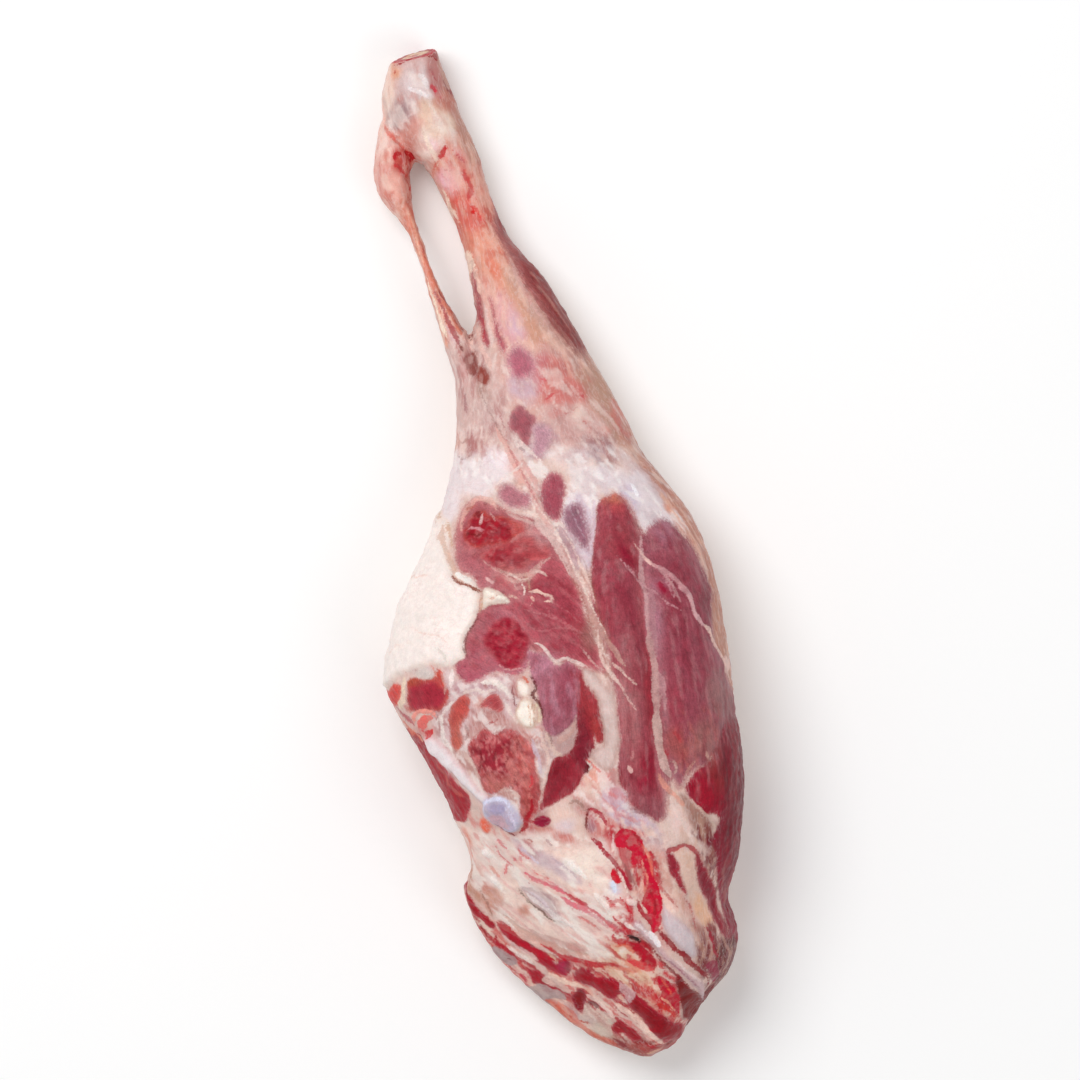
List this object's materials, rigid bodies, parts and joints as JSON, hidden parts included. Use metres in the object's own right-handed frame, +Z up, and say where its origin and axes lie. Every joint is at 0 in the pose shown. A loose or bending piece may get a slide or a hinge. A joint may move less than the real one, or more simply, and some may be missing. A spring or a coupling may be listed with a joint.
{
  "type": "raw leg of lamb",
  "caption": "Whole raw leg of lamb on the bone, lying on its outer side: chump, thigh and shank, with the hock joint and the open gap behind its tendon.",
  "frame": {"origin": "on the surface the leg lies on, under the middle of its outline seen from above", "axes": "+Y along the leg to the sawn hock, +X to the front of the leg (knee side), +Z up, through the inner side"},
  "size_m": [0.184, 0.5055, 0.1033],
  "materials": {
    "raw_meat": "wet satin"
  },
  "bodies": {
    "root": {"leg_of_lamb": "raw_meat"}
  },
  "joints": []
}
